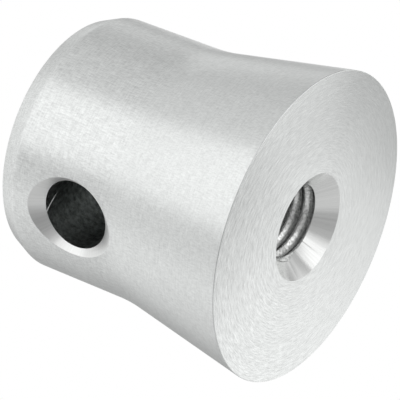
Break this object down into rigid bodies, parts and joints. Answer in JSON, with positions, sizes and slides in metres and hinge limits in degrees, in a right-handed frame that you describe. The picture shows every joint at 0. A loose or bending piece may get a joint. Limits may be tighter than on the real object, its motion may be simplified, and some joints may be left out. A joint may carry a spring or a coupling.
{
  "type": "half conical truss coupler",
  "caption": "Solid turned aluminium half coupler: flared body with a flat face and threaded hole, and a straight nose with a countersunk pin hole across it.",
  "frame": {"origin": "centre of the wide seating face", "axes": "+Z along the turning axis from the seating face towards the nose; +Y along the pin hole across the nose"},
  "size_m": [0.044, 0.044, 0.0385],
  "materials": {
    "turned_aluminium": "bare, as turned, with fine tool marks and bright countersinks"
  },
  "bodies": {
    "root": {"coupler_body": "turned_aluminium"}
  },
  "joints": []
}
